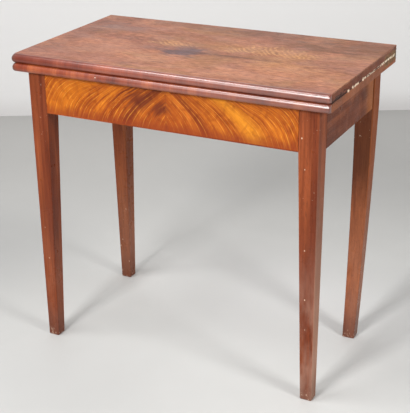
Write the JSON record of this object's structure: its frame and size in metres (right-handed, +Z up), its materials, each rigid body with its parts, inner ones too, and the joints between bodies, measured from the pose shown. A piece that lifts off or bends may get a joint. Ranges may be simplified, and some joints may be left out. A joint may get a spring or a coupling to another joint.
{
  "type": "folding games table",
  "caption": "Fold-over games table: two hinged square-edged leaves on a railed frame with tapered square legs; one rear leg swings out on a wooden knuckle joint to carry the opened leaf.",
  "frame": {"origin": "on the floor under the middle of the folded top", "axes": "+X to the right along the front, +Y from the front to the back, +Z up"},
  "size_m": [0.8, 0.45, 0.76],
  "materials": {
    "mahogany": "old satin shellac, reddish brown",
    "leaf_mahogany": "old satin shellac, dark reddish brown",
    "moulding": "polished shellac, cross grain",
    "faded_veneer": "worn satin shellac over figured veneer",
    "flame_veneer": "polished shellac over flame figure",
    "secondary_wood": "bare planed pine, aged",
    "oak": "bare planed oak, aged",
    "brass": "dull old brass",
    "iron": "darkened iron"
  },
  "bodies": {
    "frame": {"front_rail": "secondary_wood", "front_veneer": "flame_veneer", "front_edge_strip": "mahogany", "left_side_rail": "mahogany", "right_side_rail": "mahogany", "inner_back_rail": "secondary_wood", "fixed_knuckle_rail": "oak", "front_left_leg": "mahogany", "front_right_leg": "mahogany", "rear_left_leg": "mahogany", "lower_leaf": "leaf_mahogany", "lower_moulding": "moulding", "leaf_screws": "iron", "back_rail_screws": "iron", "glue_blocks": "secondary_wood", "knuckle_pin": "iron", "left_lower_hinge_plate": "brass", "right_lower_hinge_plate": "brass", "lower_hinge_screws": "brass", "lower_hinge_pins": "iron"},
    "swing_gate": {"swing_rail": "oak", "swing_leg": "mahogany"},
    "hinge_links": {"left_hinge_link": "brass", "right_hinge_link": "brass"},
    "flap": {"upper_leaf": "leaf_mahogany", "upper_veneer": "faded_veneer", "upper_moulding": "moulding", "left_upper_hinge_plate": "brass", "right_upper_hinge_plate": "brass", "upper_hinge_screws": "brass", "upper_hinge_pins": "iron"}
  },
  "joints": [
    {"name": "leg_swing", "type": "hinge", "parent": "frame", "child": "swing_gate", "pos_m": [0, 0.1633, 0.6676], "axis": [0, 0, 1], "range_deg": [-1.9, 88.1]},
    {"name": "link_turn", "type": "hinge", "parent": "frame", "child": "hinge_links", "pos_m": [0, 0.22, 0.7336], "axis": [-1, 0, 0], "range_deg": [0, 90]},
    {"name": "flap_turn", "type": "hinge", "parent": "hinge_links", "child": "flap", "pos_m": [0, 0.22, 0.744], "axis": [-1, 0, 0], "range_deg": [0, 90]}
  ]
}
